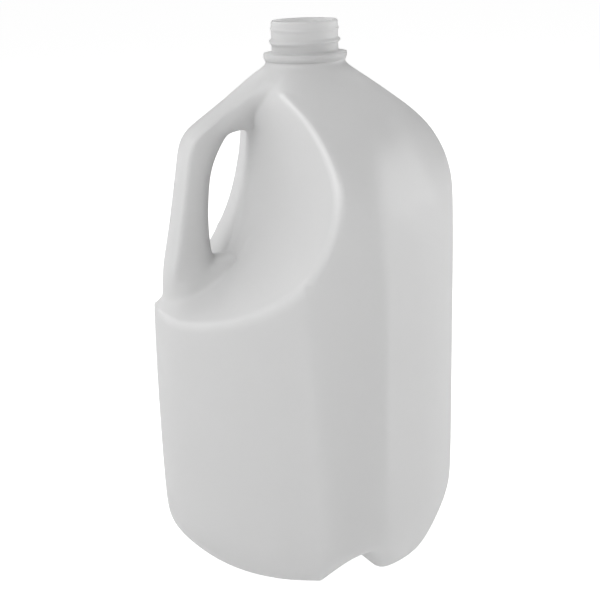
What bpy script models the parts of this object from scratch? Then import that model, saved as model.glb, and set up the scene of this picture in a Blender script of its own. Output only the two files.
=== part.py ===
"""Gallon milk bottle, empty and uncapped: one blown shell of natural HDPE with a corner handle.

The body is a square jug with bowed sides and round corners that lie on the X and Y axes, and the
handle is at its -X corner.
Both mould halves meet in the XZ plane, so only the -Y half is laid out here. The half is a grid
of control points, with columns from the handle's corner round to the +X corner and rows from the
base up to the neck. Two columns close on the XZ plane over the rows of the finger hole, and the
block between them is left out. Mirror, Subdivision and Solidify turn the grid into a thin wall,
and the turned neck is joined to it.
"""

import bpy
import bmesh
from math import atan2, cos, hypot, pi, radians, sin, sqrt, tan
from mathutils import Vector

# ---------------------------------------------------------------- driving dimensions, metres
HEIGHT = 0.2860                  # floor to rim
NECK_SHIFT = 0.00352             # of the neck's axis from the middle of the bottle, towards +X
WALL = 0.0005

BODY_HALF = 0.0731               # from the body's middle to the middle of a side
BODY_SHIFT = -0.0041             # of the body's middle from the neck's axis, along X
BODY_TAPER = 0.0130              # gain of that half width with height
TAPER_MIDDLE = 0.0790            # height where BODY_HALF holds
TAPER_END = 0.1700               # height where the gain turns into a loss
SIDE_BOW = radians(14)           # turn of a side from its middle to the start of a corner
CORNER_ROUND = 0.0340            # radius of the corners, which lie on the X and Y axes
CORNER_GAIN = 2.5                # gain of that radius with the inset of the base

SHOULDER_ARC = 0.0600            # radius where a side turns into the shoulder
SHOULDER_SLOPE = radians(36.5)   # of the shoulder cone, from level
SHOULDER_REACH = 0.0764          # from the neck's axis to the side under the shoulder
ROUND_SIZE = 0.3                 # section size, of 1, where the shoulder has become round
SQUARE_SIZE = 0.9                # and where it is still as square as the sides
COLLAR_RADIUS = 0.0210
COLLAR_FOOT = 0.2640             # height where the shoulder meets the collar

# rows of the base and lower side: height, inset from the side, lift of the groove that runs
# across the base to the -Y and +Y corners
BASE_ROWS = [
    (0.0060, 0.0480, 0.0040),
    (0.0000, 0.0370, 0.0128),
    (0.0000, 0.0270, 0.0153),
    (0.0000, 0.0165, 0.0165),
    (0.0006, 0.0108, 0.0165),
    (0.0070, 0.0066, 0.0132),
    (0.0210, 0.0004, 0.0046),
    (0.0380, 0.0000, 0.0000),
]
BASE_LEAN = 0.12                 # shift of those rows towards +X, as a share of the inset
BASE_MIDDLE = 0.0090             # height of the pushed-up middle of the base
GROOVE_ROWS = 6                  # rows of the base that the groove's edges run over
GROOVE_ANGLES = [radians(256), radians(272), radians(285)]    # of an edge, its roof, an edge

# ridge round the finger recess, and the valley inside it: x, z from the handle's foot to the top
RIDGE = [(-0.0878, 0.1440), (-0.0790, 0.1402), (-0.0590, 0.1462), (-0.0366, 0.1604),
         (-0.0210, 0.1821), (-0.0138, 0.2082), (-0.0157, 0.2279), (-0.0185, 0.2420),
         (-0.0262, 0.2583)]
VALLEY = [(-0.0850, 0.1478), (-0.0578, 0.1555), (-0.0406, 0.1775), (-0.0327, 0.1976),
          (-0.0295, 0.2232), (-0.0315, 0.2530)]
RECESS_MIDDLE = 0.45             # share of the way from valley to ridge
EDGE_CREASE = 0.6                # crease of the ridge and the handle's outer edge,
ROOF_CREASE = 0.9                # of the groove's roof,
FOOT_CREASE = 0.25               # and of its lower edges

# finger hole: x, z from its lower end up, on the handle's side and on the body's side
HOLE_BACK = [(-0.0550, 0.1680), (-0.0563, 0.1848), (-0.0553, 0.2009), (-0.0532, 0.2165),
             (-0.0445, 0.2310)]
HOLE_FRONT = [(-0.0450, 0.1672), (-0.0388, 0.1835), (-0.0352, 0.1985), (-0.0322, 0.2120),
              (-0.0322, 0.2325)]
HOLE_LIP_BACK = 0.0030           # from the hole to its edge on the handle's side,
HOLE_LIP_FRONT = 0.0008          # on the body's side
HOLE_LIP_TOP = 0.0025            # and above
HOLE_FRONT_HALF = 0.0055         # from the XZ plane to that edge on the body's side
# corners of the edge below and above the hole, from its lowest and highest points
SILL_CORNERS = [Vector((-0.0020, 0, -0.0050)), Vector((0.0010, -0.0045, -0.0020))]
LINTEL_CORNERS = [Vector((0.0010, 0, 0.0040)), Vector((-0.0010, -0.0045, 0.0030))]

GRIP_HALF = 0.0135               # half the handle's width
GRIP_EDGE = 0.0120               # from the XZ plane to its outer edge, and that edge's insets
GRIP_INSETS = [0.0035, 0.0035, 0.0032, 0.0024, 0.0016, 0.0018, 0.0028, 0.0035]
SPINE_FOOT = (-0.0853, 0.1498)   # x, z of the handle's back where it leaves the body,
SPINE_TOP = (-0.0700, 0.2168)    # below its bend,
SPINE_BEND = (-0.0681, 0.2312)   # at its bend,
ARM_LOW = (-0.0672, 0.2324)      # and of the line it follows from there
ARM_HIGH = (-0.0264, 0.2626)     # up to the collar
SPINE_HEIGHTS = [0.1580, 0.1720, 0.1870, 0.2010, 0.2150]
ARM_SHARES = [0.25, 0.55]

# ring where the recess and handle have closed into the shoulder: angle from the -X corner in
# degrees and rise above the shoulder cone, for the columns up to the ridge's
CLOSING_RADIUS = 0.0288
CLOSING_RING = [(0, 0.0014), (15, 0.0010), (20, 0.0004), (25, 0.0), (30, 0.0), (35, 0.0),
                (40, 0.0), (45, 0.0), (51, 0.0)]

# heights of the rows where they reach the +X corner, beside the recess and handle
FRONT_HEIGHTS = [0.1530, 0.1610, 0.1700, 0.1790, 0.1880, 0.1970, 0.2060, 0.2150, 0.2240,
                 0.2330, 0.2430, 0.2560]

# neck: radius and depth below the rim, down the outside and back up the bore
NECK_PROFILE = [
    (0.01660, 0.0000), (0.01710, 0.0000), (0.01725, 0.0006), (0.01725, 0.0030),
    (0.01800, 0.0041), (0.01725, 0.0052), (0.01725, 0.0086), (0.01850, 0.0096),
    (0.01850, 0.0106), (0.01725, 0.0117), (0.01725, 0.0156), (0.02100, 0.0162),
    (0.02160, 0.0170), (0.02160, 0.0180), (COLLAR_RADIUS, 0.0188), (COLLAR_RADIUS, 0.0222),
    (0.02000, 0.0222), (0.02000, 0.0180), (0.01640, 0.0168),
]
NECK_STEPS = 32
NECK_LAP = 0.0004                # of the body's wall inside the collar's face
NECK_LAP_HEIGHTS = (COLLAR_FOOT - 0.0005, COLLAR_FOOT + 0.0020)

# ---------------------------------------------------------------- layout of the control grid
BACK_EDGE = 1                    # columns after the handle's back: its outer edge,
HOLE_BACK_EDGE = 2               # the hole's edge on the handle's side,
HOLE_BACK_SIDE = 3               # the hole's two sides on the XZ plane,
HOLE_FRONT_SIDE = 4
HOLE_FRONT_EDGE = 5              # its edge on the body's side,
VALLEY_COLUMN = 6                # the valley, the recess's wall
WALL_COLUMN = 7
RIDGE_COLUMN = 8                 # and the ridge
CORNER_COLUMN = 9                # at the -Y corner, the first of the columns beyond the ridge
LAST_COLUMN = 14                 # at the +X corner
FRONT_ANGLES = [radians(degrees) for degrees in (273.5, 285, 306, 328, 348.5, 360)]  # of those
BACK_STEP = radians(10)          # between the columns up to the ridge's, below the recess
SIDE_RISE = 0.62                 # share of the way from the base's rows up to the ridge's, and
SIDE_TURN = 0.12                 # of the way round to its columns, where the side's row lies
PULL_ROUNDS = 12                 # of moving a row out against the pull of its smoothing
MIRROR = Vector((1, -1, 1))      # across the XZ plane

WALL_ROW = 1                     # handle rows after the ridge's: the recess's wall, the valley,
VALLEY_ROW = 2
SILL_ROW = 3                     # below the hole,
HOLE_ROW = 4                     # the first of the hole,
LINTEL_ROW = 9                   # above the hole,
CLOSING_ROW = 11                 # and where the recess has closed
SPINE_STEP = 0.0001              # smallest reach that counts as off the XZ plane


def circle_reach(centre, radius, angle):
    """Reach from the origin, at an angle from the line to a circle's centre, to its far side."""
    along = centre * cos(angle)
    return along + sqrt(along ** 2 - centre ** 2 + radius ** 2)


def square_radius(angle, inset):
    """Reach of the full section: four bowed sides and round corners on the X and Y axes."""
    half = BODY_HALF - inset
    corner = min(CORNER_ROUND + CORNER_GAIN * inset, half)
    share = sin(pi / 4 - SIDE_BOW) / sin(pi / 4)
    bow = (half - corner * share) / (1 - share)
    side_end = atan2(bow * sin(SIDE_BOW), half - bow + bow * cos(SIDE_BOW))
    from_corner = abs(angle - round(angle / (pi / 2)) * pi / 2)
    if pi / 4 - from_corner <= side_end:
        return circle_reach(half - bow, bow, pi / 4 - from_corner)
    centre = (half - bow) * cos(pi / 4) + (bow - corner) * cos(pi / 4 - SIDE_BOW)
    return circle_reach(centre, corner, from_corner)


def cone_height(radius):
    """Height of the shoulder cone at a distance from the axis."""
    return COLLAR_FOOT - (radius - COLLAR_RADIUS) * tan(SHOULDER_SLOPE)


def shoulder(height):
    """Section size at a height, 1 on the body's upright sides and least at the collar."""
    bend = pi / 2 - SHOULDER_SLOPE
    tangent = SHOULDER_ARC * tan(bend / 2)
    start = cone_height(SHOULDER_REACH) - tangent
    stop = cone_height(SHOULDER_REACH) + tangent * sin(SHOULDER_SLOPE)
    if height <= start:
        return 1.0
    if height < stop:
        reach = SHOULDER_REACH - SHOULDER_ARC + sqrt(SHOULDER_ARC ** 2 - (height - start) ** 2)
    else:
        reach = COLLAR_RADIUS + (COLLAR_FOOT - height) / tan(SHOULDER_SLOPE)
    return reach / SHOULDER_REACH


def squareness(height):
    """1 where the section is as square as the body, 0 where the shoulder has become round."""
    return min(1.0, max(0.0, (shoulder(height) - ROUND_SIZE) / (SQUARE_SIZE - ROUND_SIZE)))


def body_middle(height):
    """X of the section's middle, which comes in to the neck's axis up the shoulder."""
    return BODY_SHIFT * shoulder(height) * squareness(height)


def body_radius(angle, height, inset=0.0):
    """Distance from the section's middle to its side."""
    round_reach = SHOULDER_REACH - inset
    square_part = (square_radius(angle, inset) - round_reach) * squareness(height)
    widening = BODY_TAPER * (min(height, 2 * TAPER_END - height) - TAPER_MIDDLE)
    return shoulder(height) * (round_reach + square_part + widening)


def body_side(x, height):
    """How far the body reaches towards -Y at a place on the XZ plane."""
    from_middle = x - body_middle(height)
    low, high = 0.0, 0.1
    for _ in range(40):
        middle = (low + high) / 2
        angle = atan2(-middle, from_middle) % (2 * pi)
        if hypot(from_middle, middle) < body_radius(angle, height):
            low = middle
        else:
            high = middle
    return low


def angle_round(point):
    """A point's angle round the middle of the body's section at its height."""
    return atan2(point.y, point.x - body_middle(point.z)) % (2 * pi)


def smooth_curve(outline, y=0.0, samples=24):
    """Catmull-Rom curve through x, z points, as points at a y, both ends included."""
    points = [Vector((x, y, z)) for x, z in outline]
    padded = [2 * points[0] - points[1]] + points + [2 * points[-1] - points[-2]]
    curve = []
    for a, b, c, d in zip(padded, padded[1:], padded[2:], padded[3:]):
        for step in range(samples):
            t = step / samples
            curve.append(0.5 * (2 * b + (c - a) * t + (2 * a - 5 * b + 4 * c - d) * t ** 2
                                + (3 * b - a - 3 * c + d) * t ** 3))
    curve.append(points[-1])
    return curve


def spaced(curve, intervals):
    """Points at equal steps along a polyline."""
    lengths = [0.0]
    for a, b in zip(curve, curve[1:]):
        lengths.append(lengths[-1] + (b - a).length)
    result = []
    place = 0
    for index in range(intervals + 1):
        goal = lengths[-1] * index / intervals
        while place < len(curve) - 2 and lengths[place + 1] < goal:
            place += 1
        span = lengths[place + 1] - lengths[place]
        result.append(curve[place].lerp(curve[place + 1], (goal - lengths[place]) / span))
    return result


def off_plane(pair):
    """Point on the XZ plane from an x, z pair."""
    return Vector((pair[0], 0, pair[1]))


def on_body(angle, height, inset=0.0):
    """Point of the body's surface."""
    radius = body_radius(angle, height, inset)
    return Vector((body_middle(height) + radius * cos(angle), radius * sin(angle), height))


def against_pull(row, first):
    """Move a row's points out, from a column on, so that it still meets them when smoothed."""
    goals = [point.copy() for point in row]
    for _ in range(PULL_ROUNDS):
        padded = [row[1] * MIRROR] + row + [row[-2] * MIRROR]
        for column in range(first, len(row)):
            smoothed = (padded[column] + 4 * padded[column + 1] + padded[column + 2]) / 6
            row[column] = row[column] + goals[column] - smoothed


def round_row(height, inset, lift):
    """A row right round the half body, lifted at the -Y corner where the base groove ends."""
    angles = [pi + BACK_STEP * column for column in range(RIDGE_COLUMN + 1)] + FRONT_ANGLES
    if lift:
        angles[CORNER_COLUMN - 1:CORNER_COLUMN + 2] = GROOVE_ANGLES
    row = [on_body(angle, height, inset) for angle in angles]
    against_pull(row, 0)
    for point in row:
        point.x += BASE_LEAN * inset
    row[CORNER_COLUMN].z += lift
    return row


def lay(grid, points, row, column):
    """Put a line of points into the grid: along a row to a column, then up that column."""
    for index, point in enumerate(points):
        if index <= column:
            grid[row][index] = point.copy()
        else:
            grid[row + index - column][column] = point.copy()
    grid[row][0].y = 0


def lay_recess(grid):
    """Ridge, valley and the wall between them, each from the handle's foot to the top."""
    ridge = [Vector((point.x, -body_side(point.x, point.z), point.z))
             for point in smooth_curve(RIDGE)]
    valley = smooth_curve(VALLEY, -GRIP_HALF)
    lay(grid, spaced(ridge, RIDGE_COLUMN + CLOSING_ROW), 0, RIDGE_COLUMN)
    count = WALL_COLUMN + CLOSING_ROW - WALL_ROW
    wall = [low.lerp(high, RECESS_MIDDLE)
            for low, high in zip(spaced(valley, count), spaced(ridge, count))]
    lay(grid, wall, WALL_ROW, WALL_COLUMN)
    lay(grid, spaced(valley, VALLEY_COLUMN + CLOSING_ROW - VALLEY_ROW), VALLEY_ROW, VALLEY_COLUMN)


def lay_hole(grid):
    """Both sides of the finger hole on the XZ plane, and the edge round its -Y end."""
    for row, (back, front) in enumerate(zip(HOLE_BACK, HOLE_FRONT), start=HOLE_ROW):
        grid[row][HOLE_BACK_SIDE] = off_plane(back)
        grid[row][HOLE_FRONT_SIDE] = off_plane(front)
        grid[row][HOLE_BACK_EDGE] = Vector((back[0] - HOLE_LIP_BACK, -GRIP_HALF, back[1]))
        grid[row][HOLE_FRONT_EDGE] = Vector((front[0] + HOLE_LIP_FRONT, -HOLE_FRONT_HALF, front[1]))
    for column, side in ((HOLE_BACK_SIDE, HOLE_BACK), (HOLE_FRONT_SIDE, HOLE_FRONT)):
        low, high = off_plane(side[0]), off_plane(side[-1])
        grid[SILL_ROW][column] = low + Vector((0, -GRIP_HALF, 0))
        grid[LINTEL_ROW][column] = high + Vector((0, -GRIP_HALF, HOLE_LIP_TOP))
    for row, edge_row, corners in (
        (SILL_ROW, HOLE_ROW, SILL_CORNERS),
        (LINTEL_ROW, LINTEL_ROW - 1, LINTEL_CORNERS),
    ):
        for column, corner in zip((HOLE_BACK_EDGE, HOLE_FRONT_EDGE), corners):
            grid[row][column] = grid[edge_row][column] + corner


def lay_handle(grid):
    """The handle's back, straight and leaning in, then along the arm, and its outer edge."""
    foot, top = off_plane(SPINE_FOOT), off_plane(SPINE_TOP)
    spine = [foot.lerp(top, (height - foot.z) / (top.z - foot.z)) for height in SPINE_HEIGHTS]
    spine.append(off_plane(SPINE_BEND))
    spine += [off_plane(ARM_LOW).lerp(off_plane(ARM_HIGH), share) for share in ARM_SHARES]
    for row, point in enumerate(spine, start=SILL_ROW):
        grid[row][0] = point
    for row, inset in enumerate(GRIP_INSETS, start=SILL_ROW):
        above = grid[row + 1][0]
        along = (above - grid[row - 1][0]).normalized()
        inward = Vector((along.z, 0, -along.x)) * inset
        grid[row][BACK_EDGE] = grid[row][0] + inward - Vector((0, GRIP_EDGE, 0))
    arm = grid[CLOSING_ROW - 1]
    for column in range(BACK_EDGE + 1, VALLEY_COLUMN):
        share = (column - BACK_EDGE) / (VALLEY_COLUMN - BACK_EDGE)
        arm[column] = arm[BACK_EDGE].lerp(arm[VALLEY_COLUMN], share)
        arm[column].y = -GRIP_HALF


def closing_ring():
    """Points from the handle's back to the ridge where both have closed into the shoulder."""
    ring = []
    for degrees, rise in CLOSING_RING:
        angle = pi + radians(degrees)
        height = cone_height(CLOSING_RADIUS) + rise
        ring.append(Vector((CLOSING_RADIUS * cos(angle), CLOSING_RADIUS * sin(angle), height)))
    ring[0].y = 0
    return ring


def handle_rows():
    """Rows of the finger recess and handle, from the ridge under the recess up to the neck."""
    grid = [[None] * (LAST_COLUMN + 1) for _ in range(CLOSING_ROW + 1)]
    lay_recess(grid)
    grid[CLOSING_ROW][:RIDGE_COLUMN + 1] = closing_ring()
    lay_hole(grid)
    lay_handle(grid)
    for row, front_height in zip(grid, FRONT_HEIGHTS):
        start = row[RIDGE_COLUMN]
        start_angle = angle_round(start)
        even_step = (2 * pi - start_angle) / (LAST_COLUMN - RIDGE_COLUMN)
        for column, square_angle in enumerate(FRONT_ANGLES, start=CORNER_COLUMN):
            even_angle = start_angle + even_step * (column - RIDGE_COLUMN)
            angle = even_angle + (square_angle - even_angle) * squareness(start.z)
            way_round = (angle - start_angle) / (2 * pi - start_angle)
            row[column] = on_body(angle, start.z + (front_height - start.z) * way_round)
        against_pull(row, CORNER_COLUMN)
    return grid


def side_row(low, high):
    """Row on the body's side between two others, its columns still close to the lower row's."""
    row = []
    for a, b in zip(low, high):
        angle = angle_round(a) + (angle_round(b) - angle_round(a)) * SIDE_TURN
        row.append(on_body(angle, a.z + (b.z - a.z) * SIDE_RISE))
    row[0] = on_body(pi, row[0].z)
    row[-1] = on_body(2 * pi, row[-1].z)
    against_pull(row, 0)
    return row


def neck_rows(last):
    """Rows that turn up inside the collar, on the columns of the row below them."""
    angles = [atan2(point.y, point.x) % (2 * pi) for point in last]
    angles[0], angles[-1] = pi, 2 * pi
    before = [2 * angles[0] - angles[1]] + angles[:-1]
    after = angles[1:] + [2 * angles[-1] - angles[-2]]
    rows = []
    for height in NECK_LAP_HEIGHTS:
        row = []
        for a, angle, b in zip(before, angles, after):
            radius = (COLLAR_RADIUS - NECK_LAP) * 8 / (6 + cos(angle - a) + cos(b - angle))
            row.append(Vector((radius * cos(angle), radius * sin(angle), height)))
        rows.append(row)
    return rows


def crease_line(mesh, line, sharpness=EDGE_CREASE):
    """Crease the edges along a line of vertices."""
    crease = mesh.edges.layers.float.get("crease_edge")
    for a, b in zip(line, line[1:]):
        mesh.edges.get((a, b))[crease] = sharpness


def half_mesh():
    """The -Y half of the body as a cage of quads, open at the neck and at the finger hole."""
    rows = [round_row(*row) for row in BASE_ROWS]
    upper = handle_rows()
    rows.append(side_row(rows[-1], upper[0]))
    first = len(rows)
    rows += upper
    rows += neck_rows(rows[-1])
    mesh = bmesh.new()
    mesh.edges.layers.float.new("crease_edge")
    for row in rows:
        for point in row:
            if abs(point.y) < SPINE_STEP:
                point.y = 0
    grid = [[mesh.verts.new(point) for point in row] for row in rows]
    hole = range(first + HOLE_ROW, first + LINTEL_ROW - 1)
    for row, (low, high) in enumerate(zip(grid, grid[1:])):
        for column in range(LAST_COLUMN):
            if column == HOLE_BACK_SIDE and row in hole:
                continue
            mesh.faces.new((low[column], low[column + 1], high[column + 1], high[column]))
    pole = mesh.verts.new((BODY_SHIFT, 0, BASE_MIDDLE))
    for a, b in zip(grid[0], grid[0][1:]):
        mesh.faces.new((pole, b, a))
    base = grid[:GROOVE_ROWS + 1]
    crease_line(mesh, [row[CORNER_COLUMN] for row in base], ROOF_CREASE)
    crease_line(mesh, [row[CORNER_COLUMN - 1] for row in base], FOOT_CREASE)
    crease_line(mesh, [row[CORNER_COLUMN + 1] for row in base], FOOT_CREASE)
    crease_line(mesh, grid[first][:RIDGE_COLUMN + 1])
    crease_line(mesh, [row[RIDGE_COLUMN] for row in grid[first:first + CLOSING_ROW]])
    crease_line(mesh, [row[BACK_EDGE] for row in grid[first + SILL_ROW:first + CLOSING_ROW]])
    return mesh


def link_mesh(mesh, name, collection):
    """Object at the neck's axis from a bmesh, which is freed."""
    data = bpy.data.meshes.new(name)
    mesh.to_mesh(data)
    mesh.free()
    item = bpy.data.objects.new(name, data)
    item.location.x = NECK_SHIFT
    collection.objects.link(item)
    return item


def make_body(collection):
    body = link_mesh(half_mesh(), "bottle", collection)
    body.data.shade_smooth()
    mirror = body.modifiers.new("other mould half", "MIRROR")
    mirror.use_axis = (False, True, False)
    mirror.merge_threshold = 0.00005
    smooth = body.modifiers.new("blown form", "SUBSURF")
    smooth.levels = smooth.render_levels = 1
    wall = body.modifiers.new("wall", "SOLIDIFY")
    wall.thickness = WALL
    wall.offset = -1
    return body


def make_neck(collection):
    """Closed profile of collar, bead, thread and bore, turned round the axis."""
    mesh = bmesh.new()
    profile = [mesh.verts.new((radius, 0, HEIGHT - depth)) for radius, depth in NECK_PROFILE]
    for a, b in zip(profile, profile[1:] + profile[:1]):
        mesh.edges.new((a, b))
    neck = link_mesh(mesh, "neck", collection)
    turn = neck.modifiers.new("turn", "SCREW")
    turn.steps = turn.render_steps = NECK_STEPS
    turn.use_merge_vertices = True
    turn.merge_threshold = 0.00005
    neck.display_type = "WIRE"
    neck.hide_render = True
    return neck


def main():
    for item in list(bpy.data.objects):
        bpy.data.objects.remove(item)
    scene = bpy.context.scene
    parts = bpy.data.collections.new("milk_bottle")
    helpers = bpy.data.collections.new("joined_pieces")
    scene.collection.children.link(parts)
    scene.collection.children.link(helpers)
    body = make_body(parts)
    join = body.modifiers.new("neck", "BOOLEAN")
    join.operation = "UNION"
    join.object = make_neck(helpers)
    material = bpy.data.materials.new("natural_hdpe")
    material.use_nodes = True
    shader = material.node_tree.nodes["Principled BSDF"]
    shader.inputs["Base Color"].default_value = (0.80, 0.80, 0.79, 1)
    shader.inputs["Roughness"].default_value = 0.42
    body.data.materials.append(material)


main()
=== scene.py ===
"""Empty gallon milk bottle in a light tent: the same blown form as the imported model, with a fine
surface, a climbing thread on the neck and a milky, translucent plastic."""

import bpy
import bmesh
from math import atan2, cos, hypot, pi, radians, sin, sqrt, tan
from mathutils import Matrix, Vector
from mathutils.kdtree import KDTree


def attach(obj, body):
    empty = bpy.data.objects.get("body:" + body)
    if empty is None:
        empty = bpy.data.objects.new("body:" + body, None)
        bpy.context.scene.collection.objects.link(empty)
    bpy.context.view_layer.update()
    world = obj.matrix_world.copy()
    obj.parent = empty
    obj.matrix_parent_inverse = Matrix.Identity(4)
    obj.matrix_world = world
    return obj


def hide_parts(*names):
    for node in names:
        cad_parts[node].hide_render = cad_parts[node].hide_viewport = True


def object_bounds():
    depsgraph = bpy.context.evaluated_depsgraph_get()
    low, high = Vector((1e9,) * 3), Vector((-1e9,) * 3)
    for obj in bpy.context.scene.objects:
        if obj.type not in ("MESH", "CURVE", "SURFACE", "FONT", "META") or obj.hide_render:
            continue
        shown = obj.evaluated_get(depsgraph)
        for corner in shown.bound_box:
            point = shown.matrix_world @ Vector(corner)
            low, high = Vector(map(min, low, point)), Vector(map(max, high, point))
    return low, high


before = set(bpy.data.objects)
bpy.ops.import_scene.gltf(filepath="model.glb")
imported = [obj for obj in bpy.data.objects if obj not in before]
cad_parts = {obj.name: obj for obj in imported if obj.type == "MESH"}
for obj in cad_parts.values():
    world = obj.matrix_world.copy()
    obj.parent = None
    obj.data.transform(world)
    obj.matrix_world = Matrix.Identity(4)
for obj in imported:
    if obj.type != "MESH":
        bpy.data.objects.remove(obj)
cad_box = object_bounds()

# ---------------------------------------------------------------- driving dimensions, metres
HEIGHT = 0.2860                  # floor to rim
NECK_SHIFT = 0.00352             # of the neck's axis from the middle of the bottle, towards +X
WALL = 0.0005

BODY_HALF = 0.0731               # from the body's middle to the middle of a side
BODY_SHIFT = -0.0041             # of the body's middle from the neck's axis, along X
BODY_TAPER = 0.0130              # gain of that half width with height
TAPER_MIDDLE = 0.0790            # height where BODY_HALF holds
TAPER_END = 0.1700               # height where the gain turns into a loss
SIDE_BOW = radians(14)           # turn of a side from its middle to the start of a corner
CORNER_ROUND = 0.0340            # radius of the corners, which lie on the X and Y axes
CORNER_GAIN = 2.5                # gain of that radius with the inset of the base

SHOULDER_ARC = 0.0600            # radius where a side turns into the shoulder
SHOULDER_SLOPE = radians(36.5)   # of the shoulder cone, from level
SHOULDER_REACH = 0.0764          # from the neck's axis to the side under the shoulder
ROUND_SIZE = 0.3                 # section size, of 1, where the shoulder has become round
SQUARE_SIZE = 0.9                # and where it is still as square as the sides
COLLAR_RADIUS = 0.0210
COLLAR_FOOT = 0.2640             # height where the shoulder meets the collar

# rows of the base and lower side: height, inset from the side, lift of the groove that runs
# across the base to the -Y and +Y corners
BASE_ROWS = [
    (0.0060, 0.0480, 0.0040),
    (0.0000, 0.0370, 0.0128),
    (0.0000, 0.0270, 0.0153),
    (0.0000, 0.0165, 0.0165),
    (0.0006, 0.0108, 0.0165),
    (0.0070, 0.0066, 0.0132),
    (0.0210, 0.0004, 0.0046),
    (0.0380, 0.0000, 0.0000),
]
BASE_LEAN = 0.12                 # shift of those rows towards +X, as a share of the inset
BASE_MIDDLE = 0.0090             # height of the pushed-up middle of the base
GROOVE_ROWS = 6                  # rows of the base that the groove's edges run over
GROOVE_ANGLES = [radians(256), radians(272), radians(285)]    # of an edge, its roof, an edge

# ridge round the finger recess, and the valley inside it: x, z from the handle's foot to the top
RIDGE = [(-0.0878, 0.1440), (-0.0790, 0.1402), (-0.0590, 0.1462), (-0.0366, 0.1604),
         (-0.0210, 0.1821), (-0.0138, 0.2082), (-0.0157, 0.2279), (-0.0185, 0.2420),
         (-0.0262, 0.2583)]
VALLEY = [(-0.0850, 0.1478), (-0.0578, 0.1555), (-0.0406, 0.1775), (-0.0327, 0.1976),
          (-0.0295, 0.2232), (-0.0315, 0.2530)]
RECESS_MIDDLE = 0.45             # share of the way from valley to ridge
EDGE_CREASE = 0.6                # crease of the ridge and the handle's outer edge,
ROOF_CREASE = 0.9                # of the groove's roof,
FOOT_CREASE = 0.25               # and of its lower edges

# finger hole: x, z from its lower end up, on the handle's side and on the body's side
HOLE_BACK = [(-0.0550, 0.1680), (-0.0563, 0.1848), (-0.0553, 0.2009), (-0.0532, 0.2165),
             (-0.0445, 0.2310)]
HOLE_FRONT = [(-0.0450, 0.1672), (-0.0388, 0.1835), (-0.0352, 0.1985), (-0.0322, 0.2120),
              (-0.0322, 0.2325)]
HOLE_LIP_BACK = 0.0030           # from the hole to its edge on the handle's side,
HOLE_LIP_FRONT = 0.0008          # on the body's side
HOLE_LIP_TOP = 0.0025            # and above
HOLE_FRONT_HALF = 0.0055         # from the XZ plane to that edge on the body's side
# corners of the edge below and above the hole, from its lowest and highest points
SILL_CORNERS = [Vector((-0.0020, 0, -0.0050)), Vector((0.0010, -0.0045, -0.0020))]
LINTEL_CORNERS = [Vector((0.0010, 0, 0.0040)), Vector((-0.0010, -0.0045, 0.0030))]

GRIP_HALF = 0.0135               # half the handle's width
GRIP_EDGE = 0.0120               # from the XZ plane to its outer edge, and that edge's insets
GRIP_INSETS = [0.0035, 0.0035, 0.0032, 0.0024, 0.0016, 0.0018, 0.0028, 0.0035]
SPINE_FOOT = (-0.0853, 0.1498)   # x, z of the handle's back where it leaves the body,
SPINE_TOP = (-0.0700, 0.2168)    # below its bend,
SPINE_BEND = (-0.0681, 0.2312)   # at its bend,
ARM_LOW = (-0.0672, 0.2324)      # and of the line it follows from there
ARM_HIGH = (-0.0264, 0.2626)     # up to the collar
SPINE_HEIGHTS = [0.1580, 0.1720, 0.1870, 0.2010, 0.2150]
ARM_SHARES = [0.25, 0.55]

# ring where the recess and handle have closed into the shoulder: angle from the -X corner in
# degrees and rise above the shoulder cone, for the columns up to the ridge's
CLOSING_RADIUS = 0.0288
CLOSING_RING = [(0, 0.0014), (15, 0.0010), (20, 0.0004), (25, 0.0), (30, 0.0), (35, 0.0),
                (40, 0.0), (45, 0.0), (51, 0.0)]

# heights of the rows where they reach the +X corner, beside the recess and handle
FRONT_HEIGHTS = [0.1530, 0.1610, 0.1700, 0.1790, 0.1880, 0.1970, 0.2060, 0.2150, 0.2240,
                 0.2330, 0.2430, 0.2560]

NECK_LAP = 0.0004                # of the body's wall inside the collar's face
NECK_LAP_HEIGHTS = (COLLAR_FOOT - 0.0005, COLLAR_FOOT + 0.0020)

# ---------------------------------------------------------------- layout of the control grid
BACK_EDGE = 1                    # columns after the handle's back: its outer edge,
HOLE_BACK_EDGE = 2               # the hole's edge on the handle's side,
HOLE_BACK_SIDE = 3               # the hole's two sides on the XZ plane,
HOLE_FRONT_SIDE = 4
HOLE_FRONT_EDGE = 5              # its edge on the body's side,
VALLEY_COLUMN = 6                # the valley, the recess's wall
WALL_COLUMN = 7
RIDGE_COLUMN = 8                 # and the ridge
CORNER_COLUMN = 9                # at the -Y corner, the first of the columns beyond the ridge
LAST_COLUMN = 14                 # at the +X corner
FRONT_ANGLES = [radians(degrees) for degrees in (273.5, 285, 306, 328, 348.5, 360)]  # of those
BACK_STEP = radians(10)          # between the columns up to the ridge's, below the recess
SIDE_RISE = 0.62                 # share of the way from the base's rows up to the ridge's, and
SIDE_TURN = 0.12                 # of the way round to its columns, where the side's row lies
PULL_ROUNDS = 12                 # of moving a row out against the pull of its smoothing
MIRROR = Vector((1, -1, 1))      # across the XZ plane
SIDE_LIMIT = 0.1                 # farther than any side reaches,
SIDE_HALVINGS = 40               # and the halvings of the way there that find a side
CURVE_SAMPLES = 24               # of a curve between two points of its outline

WALL_ROW = 1                     # handle rows after the ridge's: the recess's wall, the valley,
VALLEY_ROW = 2
SILL_ROW = 3                     # below the hole,
HOLE_ROW = 4                     # the first of the hole,
LINTEL_ROW = 9                   # above the hole,
CLOSING_ROW = 11                 # and where the recess has closed
SPINE_STEP = 0.0001              # smallest reach that counts as off the XZ plane


def circle_reach(centre, radius, angle):
    """Reach from the origin, at an angle from the line to a circle's centre, to its far side."""
    along = centre * cos(angle)
    return along + sqrt(along ** 2 - centre ** 2 + radius ** 2)


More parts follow.
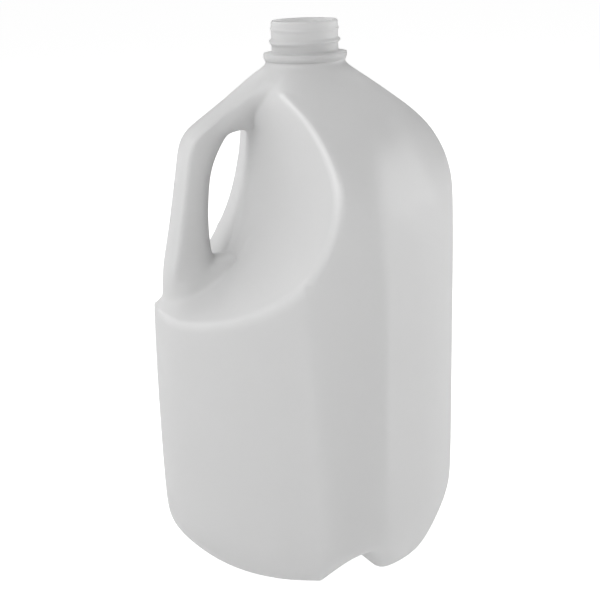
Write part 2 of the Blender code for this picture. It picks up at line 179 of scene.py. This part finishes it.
def square_radius(angle, inset):
    """Reach of the full section: four bowed sides and round corners on the X and Y axes."""
    half = BODY_HALF - inset
    corner = min(CORNER_ROUND + CORNER_GAIN * inset, half)
    share = sin(pi / 4 - SIDE_BOW) / sin(pi / 4)
    bow = (half - corner * share) / (1 - share)
    side_end = atan2(bow * sin(SIDE_BOW), half - bow + bow * cos(SIDE_BOW))
    from_corner = abs(angle - round(angle / (pi / 2)) * pi / 2)
    if pi / 4 - from_corner <= side_end:
        return circle_reach(half - bow, bow, pi / 4 - from_corner)
    centre = (half - bow) * cos(pi / 4) + (bow - corner) * cos(pi / 4 - SIDE_BOW)
    return circle_reach(centre, corner, from_corner)


def cone_height(radius):
    """Height of the shoulder cone at a distance from the axis."""
    return COLLAR_FOOT - (radius - COLLAR_RADIUS) * tan(SHOULDER_SLOPE)


def shoulder(height):
    """Section size at a height, 1 on the body's upright sides and least at the collar."""
    bend = pi / 2 - SHOULDER_SLOPE
    tangent = SHOULDER_ARC * tan(bend / 2)
    start = cone_height(SHOULDER_REACH) - tangent
    stop = cone_height(SHOULDER_REACH) + tangent * sin(SHOULDER_SLOPE)
    if height <= start:
        return 1.0
    if height < stop:
        reach = SHOULDER_REACH - SHOULDER_ARC + sqrt(SHOULDER_ARC ** 2 - (height - start) ** 2)
    else:
        reach = COLLAR_RADIUS + (COLLAR_FOOT - height) / tan(SHOULDER_SLOPE)
    return reach / SHOULDER_REACH


def squareness(height):
    """1 where the section is as square as the body, 0 where the shoulder has become round."""
    return min(1.0, max(0.0, (shoulder(height) - ROUND_SIZE) / (SQUARE_SIZE - ROUND_SIZE)))


def body_middle(height):
    """X of the section's middle, which comes in to the neck's axis up the shoulder."""
    return BODY_SHIFT * shoulder(height) * squareness(height)


def body_radius(angle, height, inset=0.0):
    """Distance from the section's middle to its side."""
    round_reach = SHOULDER_REACH - inset
    square_part = (square_radius(angle, inset) - round_reach) * squareness(height)
    widening = BODY_TAPER * (min(height, 2 * TAPER_END - height) - TAPER_MIDDLE)
    return shoulder(height) * (round_reach + square_part + widening)


def body_side(x, height):
    """How far the body reaches towards -Y at a place on the XZ plane."""
    from_middle = x - body_middle(height)
    low, high = 0.0, SIDE_LIMIT
    for _ in range(SIDE_HALVINGS):
        middle = (low + high) / 2
        angle = atan2(-middle, from_middle) % (2 * pi)
        if hypot(from_middle, middle) < body_radius(angle, height):
            low = middle
        else:
            high = middle
    return low


def angle_round(point):
    """A point's angle round the middle of the body's section at its height."""
    return atan2(point.y, point.x - body_middle(point.z)) % (2 * pi)


def smooth_curve(outline, y=0.0):
    """Catmull-Rom curve through x, z points, as points at a y, both ends included."""
    points = [Vector((x, y, z)) for x, z in outline]
    padded = [2 * points[0] - points[1]] + points + [2 * points[-1] - points[-2]]
    curve = []
    for a, b, c, d in zip(padded, padded[1:], padded[2:], padded[3:]):
        for step in range(CURVE_SAMPLES):
            t = step / CURVE_SAMPLES
            curve.append(0.5 * (2 * b + (c - a) * t + (2 * a - 5 * b + 4 * c - d) * t ** 2
                                + (3 * b - a - 3 * c + d) * t ** 3))
    curve.append(points[-1])
    return curve


def spaced(curve, intervals):
    """Points at equal steps along a polyline."""
    lengths = [0.0]
    for a, b in zip(curve, curve[1:]):
        lengths.append(lengths[-1] + (b - a).length)
    result = []
    place = 0
    for index in range(intervals + 1):
        goal = lengths[-1] * index / intervals
        while place < len(curve) - 2 and lengths[place + 1] < goal:
            place += 1
        span = lengths[place + 1] - lengths[place]
        result.append(curve[place].lerp(curve[place + 1], (goal - lengths[place]) / span))
    return result


def on_plane(pair):
    """Point on the XZ plane from an x, z pair."""
    return Vector((pair[0], 0, pair[1]))


def on_body(angle, height, inset=0.0):
    """Point of the body's surface."""
    radius = body_radius(angle, height, inset)
    return Vector((body_middle(height) + radius * cos(angle), radius * sin(angle), height))


def against_pull(row, first):
    """Move a row's points out, from a column on, so that it still meets them when smoothed.

    A point of a smoothed line ends at a sixth of each neighbour and four sixths of itself.
    """
    goals = [point.copy() for point in row]
    for _ in range(PULL_ROUNDS):
        padded = [row[1] * MIRROR] + row + [row[-2] * MIRROR]
        for column in range(first, len(row)):
            smoothed = (padded[column] + 4 * padded[column + 1] + padded[column + 2]) / 6
            row[column] = row[column] + goals[column] - smoothed


def round_row(height, inset, lift):
    """A row right round the half body, lifted at the -Y corner where the base groove ends."""
    angles = [pi + BACK_STEP * column for column in range(RIDGE_COLUMN + 1)] + FRONT_ANGLES
    if lift:
        angles[CORNER_COLUMN - 1:CORNER_COLUMN + 2] = GROOVE_ANGLES
    row = [on_body(angle, height, inset) for angle in angles]
    against_pull(row, 0)
    for point in row:
        point.x += BASE_LEAN * inset
    row[CORNER_COLUMN].z += lift
    return row


def lay(grid, points, row, column):
    """Put a line of points into the grid: along a row to a column, then up that column."""
    for index, point in enumerate(points):
        if index <= column:
            grid[row][index] = point.copy()
        else:
            grid[row + index - column][column] = point.copy()
    grid[row][0].y = 0


def lay_recess(grid):
    """Ridge, valley and the wall between them, each from the handle's foot to the top."""
    ridge = [Vector((point.x, -body_side(point.x, point.z), point.z))
             for point in smooth_curve(RIDGE)]
    valley = smooth_curve(VALLEY, -GRIP_HALF)
    lay(grid, spaced(ridge, RIDGE_COLUMN + CLOSING_ROW), 0, RIDGE_COLUMN)
    count = WALL_COLUMN + CLOSING_ROW - WALL_ROW
    wall = [low.lerp(high, RECESS_MIDDLE)
            for low, high in zip(spaced(valley, count), spaced(ridge, count))]
    lay(grid, wall, WALL_ROW, WALL_COLUMN)
    lay(grid, spaced(valley, VALLEY_COLUMN + CLOSING_ROW - VALLEY_ROW), VALLEY_ROW, VALLEY_COLUMN)


def lay_hole(grid):
    """Both sides of the finger hole on the XZ plane, and the edge round its -Y end."""
    for row, (back, front) in enumerate(zip(HOLE_BACK, HOLE_FRONT), start=HOLE_ROW):
        grid[row][HOLE_BACK_SIDE] = on_plane(back)
        grid[row][HOLE_FRONT_SIDE] = on_plane(front)
        grid[row][HOLE_BACK_EDGE] = Vector((back[0] - HOLE_LIP_BACK, -GRIP_HALF, back[1]))
        grid[row][HOLE_FRONT_EDGE] = Vector((front[0] + HOLE_LIP_FRONT, -HOLE_FRONT_HALF, front[1]))
    for column, side in ((HOLE_BACK_SIDE, HOLE_BACK), (HOLE_FRONT_SIDE, HOLE_FRONT)):
        low, high = on_plane(side[0]), on_plane(side[-1])
        grid[SILL_ROW][column] = low + Vector((0, -GRIP_HALF, 0))
        grid[LINTEL_ROW][column] = high + Vector((0, -GRIP_HALF, HOLE_LIP_TOP))
    for row, edge_row, corners in (
        (SILL_ROW, HOLE_ROW, SILL_CORNERS),
        (LINTEL_ROW, LINTEL_ROW - 1, LINTEL_CORNERS),
    ):
        for column, corner in zip((HOLE_BACK_EDGE, HOLE_FRONT_EDGE), corners):
            grid[row][column] = grid[edge_row][column] + corner


def lay_handle(grid):
    """The handle's back, straight and leaning in, then along the arm, and its outer edge."""
    foot, top = on_plane(SPINE_FOOT), on_plane(SPINE_TOP)
    spine = [foot.lerp(top, (height - foot.z) / (top.z - foot.z)) for height in SPINE_HEIGHTS]
    spine.append(on_plane(SPINE_BEND))
    spine += [on_plane(ARM_LOW).lerp(on_plane(ARM_HIGH), share) for share in ARM_SHARES]
    for row, point in enumerate(spine, start=SILL_ROW):
        grid[row][0] = point
    for row, inset in enumerate(GRIP_INSETS, start=SILL_ROW):
        above = grid[row + 1][0]
        along = (above - grid[row - 1][0]).normalized()
        inward = Vector((along.z, 0, -along.x)) * inset
        grid[row][BACK_EDGE] = grid[row][0] + inward - Vector((0, GRIP_EDGE, 0))
    arm = grid[CLOSING_ROW - 1]
    for column in range(BACK_EDGE + 1, VALLEY_COLUMN):
        share = (column - BACK_EDGE) / (VALLEY_COLUMN - BACK_EDGE)
        arm[column] = arm[BACK_EDGE].lerp(arm[VALLEY_COLUMN], share)
        arm[column].y = -GRIP_HALF


def closing_ring():
    """Points from the handle's back to the ridge where both have closed into the shoulder."""
    ring = []
    for degrees, rise in CLOSING_RING:
        angle = pi + radians(degrees)
        height = cone_height(CLOSING_RADIUS) + rise
        ring.append(Vector((CLOSING_RADIUS * cos(angle), CLOSING_RADIUS * sin(angle), height)))
    ring[0].y = 0
    return ring


def handle_rows():
    """Rows of the finger recess and handle, from the ridge under the recess up to the neck."""
    grid = [[None] * (LAST_COLUMN + 1) for _ in range(CLOSING_ROW + 1)]
    lay_recess(grid)
    grid[CLOSING_ROW][:RIDGE_COLUMN + 1] = closing_ring()
    lay_hole(grid)
    lay_handle(grid)
    for row, front_height in zip(grid, FRONT_HEIGHTS):
        start = row[RIDGE_COLUMN]
        start_angle = angle_round(start)
        even_step = (2 * pi - start_angle) / (LAST_COLUMN - RIDGE_COLUMN)
        for column, square_angle in enumerate(FRONT_ANGLES, start=CORNER_COLUMN):
            even_angle = start_angle + even_step * (column - RIDGE_COLUMN)
            angle = even_angle + (square_angle - even_angle) * squareness(start.z)
            way_round = (angle - start_angle) / (2 * pi - start_angle)
            row[column] = on_body(angle, start.z + (front_height - start.z) * way_round)
        against_pull(row, CORNER_COLUMN)
    return grid


def side_row(low, high):
    """Row on the body's side between two others, its columns still close to the lower row's."""
    row = []
    for a, b in zip(low, high):
        angle = angle_round(a) + (angle_round(b) - angle_round(a)) * SIDE_TURN
        row.append(on_body(angle, a.z + (b.z - a.z) * SIDE_RISE))
    row[0] = on_body(pi, row[0].z)
    row[-1] = on_body(2 * pi, row[-1].z)
    against_pull(row, 0)
    return row


def neck_rows(last):
    """Rows that turn up inside the collar, on the columns of the row below them.

    At the open end, smoothing leaves an eighth of each neighbour and six eighths of a point.
    """
    angles = [atan2(point.y, point.x) % (2 * pi) for point in last]
    angles[0], angles[-1] = pi, 2 * pi
    before = [2 * angles[0] - angles[1]] + angles[:-1]
    after = angles[1:] + [2 * angles[-1] - angles[-2]]
    rows = []
    for height in NECK_LAP_HEIGHTS:
        row = []
        for a, angle, b in zip(before, angles, after):
            radius = (COLLAR_RADIUS - NECK_LAP) * 8 / (6 + cos(angle - a) + cos(b - angle))
            row.append(Vector((radius * cos(angle), radius * sin(angle), height)))
        rows.append(row)
    return rows


def crease_line(mesh, line, sharpness=EDGE_CREASE):
    """Crease the edges along a line of vertices."""
    crease = mesh.edges.layers.float.get("crease_edge")
    for a, b in zip(line, line[1:]):
        mesh.edges.get((a, b))[crease] = sharpness


def half_mesh():
    """The -Y half of the body as a cage of quads, open at the neck and at the finger hole."""
    rows = [round_row(*row) for row in BASE_ROWS]
    upper = handle_rows()
    rows.append(side_row(rows[-1], upper[0]))
    first = len(rows)
    rows += upper
    rows += neck_rows(rows[-1])
    mesh = bmesh.new()
    mesh.edges.layers.float.new("crease_edge")
    for row in rows:
        for point in row:
            if abs(point.y) < SPINE_STEP:
                point.y = 0
    grid = [[mesh.verts.new(point) for point in row] for row in rows]
    hole = range(first + HOLE_ROW, first + LINTEL_ROW - 1)
    for row, (low, high) in enumerate(zip(grid, grid[1:])):
        for column in range(LAST_COLUMN):
            if column == HOLE_BACK_SIDE and row in hole:
                continue
            mesh.faces.new((low[column], low[column + 1], high[column + 1], high[column]))
    pole = mesh.verts.new((BODY_SHIFT, 0, BASE_MIDDLE))
    for a, b in zip(grid[0], grid[0][1:]):
        mesh.faces.new((pole, b, a))
    base = grid[:GROOVE_ROWS + 1]
    crease_line(mesh, [row[CORNER_COLUMN] for row in base], ROOF_CREASE)
    crease_line(mesh, [row[CORNER_COLUMN - 1] for row in base], FOOT_CREASE)
    crease_line(mesh, [row[CORNER_COLUMN + 1] for row in base], FOOT_CREASE)
    crease_line(mesh, grid[first][:RIDGE_COLUMN + 1])
    crease_line(mesh, [row[RIDGE_COLUMN] for row in grid[first:first + CLOSING_ROW]])
    crease_line(mesh, [row[BACK_EDGE] for row in grid[first + SILL_ROW:first + CLOSING_ROW]])
    return mesh


# ---------------------------------------------------------------- the bottle's fine mesh
SMOOTH_LEVELS = 3
WELD = 0.00005                   # distance within which the two halves are joined

NECK_WALL = 0.01725              # outside radius of the neck
NECK_BORE = 0.01645              # and its inside radius,
NECK_BORE_FOOT = 0.0200          # which widens to this one below the ring,
BORE_WIDENING = 0.0165           # from this depth below the rim
BORE_WIDENING_DEPTH = 0.0020     # and over this much
RIM_INSET = 0.0007               # how far the outside comes in at the rim,
RIM_ROUND = 0.0008               # and the depth over which it does
BORE_CHAMFER = 0.0002            # how far the bore opens at the rim

THREAD_HEIGHT = 0.0012           # how far a thread stands out
THREAD_WIDTH = 0.0030
THREAD_LEAD = 0.0026             # rise of a thread in one turn
THREAD_DEPTH = 0.0107            # middle of the thread below the rim, where it faces -Y
THREAD_REACH = 0.30              # turns that a thread runs to each side of its middle,
THREAD_END = 0.05                # the last of them fading out
THREAD_SPACING = 0.5             # turns from one thread's middle to the next one's

NECK_BEAD_DEPTH = 0.0042         # of the faint bead near the rim,
NECK_BEAD_TILT = 0.0004          # which lies this much higher on the +Y side, and lower on the -Y
NECK_BEAD_HEIGHT = 0.0005
NECK_BEAD_WIDTH = 0.0026

RING_RADIUS = 0.0216
RING_TOP = 0.0154                # depth where the ring's upper face starts,
RING_TOP_DEPTH = 0.0010          # and how deep it is
RING_LOW = 0.0181                # depth where its lower face starts,
RING_LOW_DEPTH = 0.0018          # and how deep that is

# depths of the neck's rows below the rim, close together at the rim and at the ring
NECK_DEPTHS = [0.0, 0.0002, 0.0005, 0.0008]
NECK_DEPTHS += [0.0012 + 0.0005 * step for step in range(28)]
NECK_DEPTHS += [0.0153 + 0.0002 * step for step in range(7)]
NECK_DEPTHS += [0.0172, 0.0180, 0.0185, 0.0187, 0.0190, 0.0194, 0.0200]
BORE_DEPTHS = [0.0004, 0.0015, 0.0080, 0.0150, 0.0172, 0.0185]

BEAD_WIDTH = 0.0036              # of the painted highlight along the recess's ridge
BEAD_RISE = 0.0003
PAINTED_HIGHLIGHT_WIDTH = 0.0050             # of the ridge's thin plastic, where it is lighter
PAINTED_HIGHLIGHT_LEAST = 0.5                # how strong the painted highlight is below the next height, of 1,
PAINTED_HIGHLIGHT_RISE_START = 0.190         # height where the painted highlight starts to get stronger,
PAINTED_HIGHLIGHT_RISE = 0.030               # and over how much height it does
PAINTED_HIGHLIGHT_FADE = 10                  # samples of the ridge over which the painted highlight fades out at the top
CREST_SPREAD = 5                 # samples to each side that the ridge's distance is evened over


def ease(value):
    """Smooth step from 0 to 1."""
    value = min(1.0, max(0.0, value))
    return value * value * (3 - 2 * value)


def bump(offset, width):
    """Smooth hump, 1 in the middle and 0 at half its width."""
    return ease(1 - abs(offset) / (width / 2))


def neck_radius(angle, depth):
    """Outside of the neck at a depth below the rim: wall, bead, climbing threads and ring."""
    turn = (angle + pi / 2) / (2 * pi)
    radius = NECK_WALL - RIM_INSET * (1 - ease(depth / RIM_ROUND))
    bead_offset = depth - NECK_BEAD_DEPTH + NECK_BEAD_TILT * sin(angle)
    radius += NECK_BEAD_HEIGHT * bump(bead_offset, NECK_BEAD_WIDTH)
    for thread in range(-2, 3):
        along = turn - thread * THREAD_SPACING
        run = ease((THREAD_REACH - abs(along)) / THREAD_END)
        offset = depth - THREAD_DEPTH + THREAD_LEAD * along
        radius += THREAD_HEIGHT * run * bump(offset, THREAD_WIDTH)
    radius += (RING_RADIUS - NECK_WALL) * ease((depth - RING_TOP) / RING_TOP_DEPTH)
    radius -= (RING_RADIUS - COLLAR_RADIUS) * ease((depth - RING_LOW) / RING_LOW_DEPTH)
    return radius


def bore_radius(depth):
    """Inside of the neck at a depth below the rim."""
    widening = ease((depth - BORE_WIDENING) / BORE_WIDENING_DEPTH)
    return NECK_BORE + (NECK_BORE_FOOT - NECK_BORE) * widening


def smooth_body():
    """The whole body without its neck: the half cage mirrored, smoothed and given its wall."""
    cage = bpy.data.meshes.new("cage")
    mesh = half_mesh()
    mesh.to_mesh(cage)
    mesh.free()
    item = bpy.data.objects.new("cage", cage)
    bpy.context.scene.collection.objects.link(item)
    mirror = item.modifiers.new("mirror", "MIRROR")
    mirror.use_axis = (False, True, False)
    mirror.merge_threshold = WELD
    smooth = item.modifiers.new("smooth", "SUBSURF")
    smooth.levels = SMOOTH_LEVELS
    smooth.render_levels = SMOOTH_LEVELS
    wall = item.modifiers.new("wall", "SOLIDIFY")
    wall.thickness = WALL
    wall.offset = -1
    wall.use_rim = False
    graph = bpy.context.evaluated_depsgraph_get()
    data = bpy.data.meshes.new_from_object(item.evaluated_get(graph))
    bpy.data.objects.remove(item)
    bpy.data.meshes.remove(cage)
    return data


def open_rings(mesh):
    """The two open rings at the neck, outer first, each as vertices in order of angle."""
    ends = [edge for edge in mesh.edges if len(edge.link_faces) == 1]
    verts = {vert for edge in ends for vert in edge.verts}
    middle = sum(hypot(vert.co.x, vert.co.y) for vert in verts) / len(verts)
    rings = []
    for outer in (True, False):
        ring = [vert for vert in verts if (hypot(vert.co.x, vert.co.y) > middle) == outer]
        rings.append(sorted(ring, key=lambda vert: atan2(vert.co.y, vert.co.x) % (2 * pi)))
    return rings


def join_rings(mesh, low, high, flip):
    """A band of quads between two rings of vertices."""
    count = len(low)
    for index in range(count):
        after = (index + 1) % count
        corners = [low[index], low[after], high[after], high[index]]
        mesh.faces.new(corners[::-1] if flip else corners)


def loft(mesh, ring, rows, flip):
    """Add rows of points above a ring of vertices, joined by quads; returns the last row."""
    for row in rows:
        upper = [mesh.verts.new(point) for point in row]
        join_rings(mesh, ring, upper, flip)
        ring = upper
    return ring


def polar(radius, angle, height):
    """Point at a radius and angle round the Z axis."""
    return Vector((radius * cos(angle), radius * sin(angle), height))


def add_neck(mesh):
    """Turn the neck up from the body's open rings: its outside, its bore and the rim between."""
    outer, inner = open_rings(mesh)
    angles = [atan2(vert.co.y, vert.co.x) for vert in outer]
    outside = []
    for depth in reversed(NECK_DEPTHS):
        outside.append([polar(neck_radius(angle, depth), angle, HEIGHT - depth)
                        for angle in angles])
    angles = [atan2(vert.co.y, vert.co.x) for vert in inner]
    bore = []
    for depth in reversed(BORE_DEPTHS):
        bore.append([polar(bore_radius(depth), angle, HEIGHT - depth) for angle in angles])
    bore.append([polar(NECK_BORE + BORE_CHAMFER, angle, HEIGHT) for angle in angles])
    outside_top = loft(mesh, outer, outside, False)
    bore_top = loft(mesh, inner, bore, True)
    join_rings(mesh, outside_top, bore_top, False)


def bead_ridge(mesh):
    """Raise a fine bead along the recess's ridge, on both sides, and mark a painted highlight along
    it.
    """
    ridge = [Vector((point.x, -body_side(point.x, point.z), point.z))
             for point in smooth_curve(RIDGE)]
    skin = KDTree(len(mesh.verts))
    for index, vert in enumerate(mesh.verts):
        skin.insert(vert.co, index)
    skin.balance()
    gaps = [skin.find(point)[2] for point in ridge]
    tree = KDTree(2 * len(ridge))
    for index, point in enumerate(ridge):
        tree.insert(point, index)
        tree.insert(point * MIRROR, index)
    tree.balance()
    mesh.normal_update()
    # strength of the painted highlight along the ridge, for each vertex
    painted_ridge_highlight = mesh.verts.layers.float.new("painted_ridge_highlight")
    moves = []
    for vert in mesh.verts:
        index, away = tree.find(vert.co)[1:]
        near = gaps[max(0, index - CREST_SPREAD):index + CREST_SPREAD + 1]
        along_skin = sqrt(max(0.0, away ** 2 - (sum(near) / len(near)) ** 2))
        climb = ease((vert.co.z - PAINTED_HIGHLIGHT_RISE_START) / PAINTED_HIGHLIGHT_RISE)
        strength = PAINTED_HIGHLIGHT_LEAST + (1 - PAINTED_HIGHLIGHT_LEAST) * climb
        strength *= ease((len(ridge) - 1 - index) / PAINTED_HIGHLIGHT_FADE)
        # painted highlight along the ridge: stronger higher up, fading out at the top
        vert[painted_ridge_highlight] = strength * bump(along_skin, PAINTED_HIGHLIGHT_WIDTH)
        if along_skin < BEAD_WIDTH / 2:
            moves.append((vert, vert.normal * BEAD_RISE * bump(along_skin, BEAD_WIDTH)))
    for vert, move in moves:
        vert.co += move


def fit_box(data):
    """Narrow the mesh by a hair, so that its smoother sides stay inside the plain solid's box."""
    low, high = [Vector(corner) for corner in cad_box]
    for axis in range(2):
        reach = [vert.co[axis] for vert in data.vertices]
        scales = [1.0, 1.0, 1.0, 1.0]
        scales[axis] = min(1.0, high[axis] / max(reach), low[axis] / min(reach))
        data.transform(Matrix.Diagonal(scales))


def make_bottle():
    """The bottle as one smooth mesh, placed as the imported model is."""
    body = smooth_body()
    mesh = bmesh.new()
    mesh.from_mesh(body)
    bpy.data.meshes.remove(body)
    bead_ridge(mesh)
    add_neck(mesh)
    mesh.normal_update()
    data = bpy.data.meshes.new("milk_bottle")
    mesh.to_mesh(data)
    mesh.free()
    data.shade_smooth()
    data.transform(Matrix.Translation((NECK_SHIFT, 0, 0)))
    fit_box(data)
    item = bpy.data.objects.new("milk_bottle", data)
    bpy.context.scene.collection.objects.link(item)
    return item


# ---------------------------------------------------------------- materials
PASSING_SHARE = 0.62             # of the plastic's light, what passes through it
PLASTIC_ROUGHNESS = 0.38
PLASTIC_IOR = 1.5
SURFACE_GREYS = (0.72, 0.75)     # of the plastic's surface, from spot to spot,
PASSING_GREY = 0.76              # of the light that passes,
PAINTED_HIGHLIGHT_SURFACE_GREY = 0.86        # of both where a highlight is painted along the recess's ridge,
PAINTED_HIGHLIGHT_PASSING_GREY = 0.88
NECK_GREY = 0.67                 # and of both on the neck,
NECK_GREY_START = COLLAR_FOOT - 0.004    # where the greys change between these heights
NECK_GREY_END = COLLAR_FOOT + 0.006
MOTTLE_SCALE = 60                # of the spots on the surface
MOTTLE_DETAIL = 3
GRAIN_SCALE = 900                # of its fine grain
GRAIN_DETAIL = 2
GRAIN_STRENGTH = 0.12
GRAIN_HEIGHT = 0.0002

FLOOR_HALF = 12
FLOOR_GREY = 0.3
FLOOR_ROUGHNESS = 0.9
FLOOR_GLOW = 0.98


def shade(nodes, links, factor, low, high):
    """Mix of two greys, each a number or a socket, by a factor's socket."""
    mix = nodes.new("ShaderNodeMix")
    mix.data_type = "RGBA"
    links.new(factor, mix.inputs["Factor"])
    for name, colour in (("A", low), ("B", high)):
        if isinstance(colour, float):
            mix.inputs[name].default_value = (colour, colour, colour, 1)
        else:
            links.new(colour, mix.inputs[name])
    return mix.outputs["Result"]


def noise(nodes, links, place, scale, detail):
    """Noise texture at a place's socket, as the socket of its value."""
    texture = nodes.new("ShaderNodeTexNoise")
    texture.inputs["Scale"].default_value = scale
    texture.inputs["Detail"].default_value = detail
    links.new(place, texture.inputs["Vector"])
    return texture.outputs["Fac"]


def neck_share(nodes, links, place):
    """Socket of a value that goes from 0 on the body to 1 on the neck."""
    axes = nodes.new("ShaderNodeSeparateXYZ")
    links.new(place, axes.inputs[0])
    share = nodes.new("ShaderNodeMapRange")
    share.interpolation_type = "SMOOTHSTEP"
    share.inputs["From Min"].default_value = NECK_GREY_START
    share.inputs["From Max"].default_value = NECK_GREY_END
    links.new(axes.outputs["Z"], share.inputs["Value"])
    return share.outputs["Result"]


def milky_plastic():
    """Milky polyethylene, with a highlight painted along the recess's ridge, and darker at the
    thick neck.
    """
    material = bpy.data.materials.new("natural_hdpe")
    material.use_nodes = True
    nodes, links = material.node_tree.nodes, material.node_tree.links
    nodes.clear()
    place = nodes.new("ShaderNodeTexCoord").outputs["Object"]
    # painted highlight along the recess's ridge, lightening both greys there
    painted_highlight_node = nodes.new("ShaderNodeAttribute")
    painted_highlight_node.attribute_name = "painted_ridge_highlight"
    painted_ridge_highlight = painted_highlight_node.outputs["Fac"]
    neck = neck_share(nodes, links, place)
    mottle = noise(nodes, links, place, MOTTLE_SCALE, MOTTLE_DETAIL)
    surface_grey = shade(nodes, links, mottle, *SURFACE_GREYS)
    surface_grey = shade(nodes, links, painted_ridge_highlight, surface_grey, PAINTED_HIGHLIGHT_SURFACE_GREY)
    surface_grey = shade(nodes, links, neck, surface_grey, NECK_GREY)
    passing_grey = shade(nodes, links, painted_ridge_highlight, PASSING_GREY, PAINTED_HIGHLIGHT_PASSING_GREY)
    passing_grey = shade(nodes, links, neck, passing_grey, NECK_GREY)

    relief = nodes.new("ShaderNodeBump")
    relief.inputs["Strength"].default_value = GRAIN_STRENGTH
    relief.inputs["Distance"].default_value = GRAIN_HEIGHT
    links.new(noise(nodes, links, place, GRAIN_SCALE, GRAIN_DETAIL), relief.inputs["Height"])

    surface = nodes.new("ShaderNodeBsdfPrincipled")
    surface.inputs["Roughness"].default_value = PLASTIC_ROUGHNESS
    surface.inputs["IOR"].default_value = PLASTIC_IOR
    links.new(surface_grey, surface.inputs["Base Color"])
    links.new(relief.outputs["Normal"], surface.inputs["Normal"])
    passing = nodes.new("ShaderNodeBsdfTranslucent")
    links.new(passing_grey, passing.inputs["Color"])
    mix = nodes.new("ShaderNodeMixShader")
    mix.inputs[0].default_value = PASSING_SHARE
    links.new(surface.outputs[0], mix.inputs[1])
    links.new(passing.outputs[0], mix.inputs[2])
    out = nodes.new("ShaderNodeOutputMaterial")
    links.new(mix.outputs[0], out.inputs["Surface"])
    return material


def plain_floor():
    """White floor that glows, so that no horizon shows."""
    material = bpy.data.materials.new("studio_floor")
    material.use_nodes = True
    shader = material.node_tree.nodes["Principled BSDF"]
    shader.inputs["Base Color"].default_value = (FLOOR_GREY, FLOOR_GREY, FLOOR_GREY, 1)
    shader.inputs["Roughness"].default_value = FLOOR_ROUGHNESS
    shader.inputs["Specular IOR Level"].default_value = 0.0
    shader.inputs["Emission Color"].default_value = (1, 1, 1, 1)
    shader.inputs["Emission Strength"].default_value = FLOOR_GLOW
    data = bpy.data.meshes.new("studio_floor")
    mesh = bmesh.new()
    bmesh.ops.create_grid(mesh, x_segments=1, y_segments=1, size=FLOOR_HALF)
    mesh.to_mesh(data)
    mesh.free()
    data.materials.append(material)
    item = bpy.data.objects.new("studio_floor", data)
    bpy.context.scene.collection.objects.link(item)
    return item


# ---------------------------------------------------------------- camera and light
CAMERA_DISTANCE = 0.7000         # from the neck's axis, level with the floor
CAMERA_HEIGHT = 0.33527
CAMERA_PITCH = 0.2759            # down from level
CAMERA_ROLL = 0.033414
CAMERA_SIDE = -0.006871          # from the neck's axis, to the right
FOCAL_PIXELS = 1342.97
PICTURE_PIXELS = 600
SENSOR_WIDTH = 36                # in millimetres
TURN = radians(19.08)            # of the camera round the bottle, from -Y towards -X

WORLD_STRENGTH = 0.02
LAMP_AIM = Vector((0.0, 0.0, 0.14))
# soft lamps: name; place to the camera's right, ahead of it and up; side; energy
LAMPS = [
    ("left_box", (-1.4, 0.0, 0.3), 1.2, 3.8),
    ("upper_left_box", (-1.1, 0.3, 1.1), 1.2, 9.6),
    ("back_left_box", (-1.2, 1.0, 0.5), 1.2, 6.6),
    ("right_box", (1.4, 0.3, 0.3), 1.2, 23.8),
    ("top_front_box", (-0.7, -0.8, 1.3), 1.0, 19.8),
    ("top_back_box", (0.0, 1.3, 1.2), 1.2, 15.2),
    ("front_box", (0.0, -1.6, 0.5), 1.2, 4.5),
    ("front_right_box", (1.1, -1.1, 0.5), 1.2, 2.9),
]


def place_camera():
    """Camera a little above the shoulder, turned towards the handle's side and slightly rolled."""
    side = Vector((1, 0, 0))
    ahead = Vector((0, cos(CAMERA_PITCH), -sin(CAMERA_PITCH)))
    above = Vector((0, sin(CAMERA_PITCH), cos(CAMERA_PITCH)))
    right = cos(CAMERA_ROLL) * side - sin(CAMERA_ROLL) * above
    up = sin(CAMERA_ROLL) * side + cos(CAMERA_ROLL) * above
    axes = Matrix((right, up, -ahead)).transposed().to_4x4()
    place = Matrix.Translation((CAMERA_SIDE, -CAMERA_DISTANCE, CAMERA_HEIGHT))
    data = bpy.data.cameras.new("camera")
    data.sensor_width = SENSOR_WIDTH
    data.lens = FOCAL_PIXELS / PICTURE_PIXELS * SENSOR_WIDTH
    data.clip_start = 0.01
    data.clip_end = 100
    camera = bpy.data.objects.new("camera", data)
    bpy.context.scene.collection.objects.link(camera)
    shift = Matrix.Translation((NECK_SHIFT, 0, 0))
    camera.matrix_world = shift @ Matrix.Rotation(-TURN, 4, "Z") @ place @ axes
    bpy.context.scene.camera = camera


def soft_box(name, place, side, energy):
    """Square area lamp that shines on the bottle's middle."""
    data = bpy.data.lights.new(name, "AREA")
    data.shape = "SQUARE"
    data.size = side
    data.energy = energy
    lamp = bpy.data.objects.new(name, data)
    bpy.context.scene.collection.objects.link(lamp)
    lamp.location = Matrix.Rotation(-TURN, 3, "Z") @ Vector(place)
    lamp.rotation_euler = (LAMP_AIM - lamp.location).to_track_quat("-Z", "Y").to_euler()


def light_tent():
    """Faint even surroundings, and the soft lamps."""
    world = bpy.data.worlds.new("tent")
    bpy.context.scene.world = world
    world.use_nodes = True
    back = world.node_tree.nodes["Background"]
    back.inputs["Color"].default_value = (1, 1, 1, 1)
    back.inputs["Strength"].default_value = WORLD_STRENGTH
    for lamp in LAMPS:
        soft_box(*lamp)


def main():
    scene = bpy.context.scene
    scene.view_settings.view_transform = "Standard"
    scene.view_settings.look = "None"
    place_camera()
    light_tent()
    plain_floor()
    bottle = make_bottle()
    bottle.data.materials.append(milky_plastic())
    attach(bottle, "root")
    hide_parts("bottle")


main()
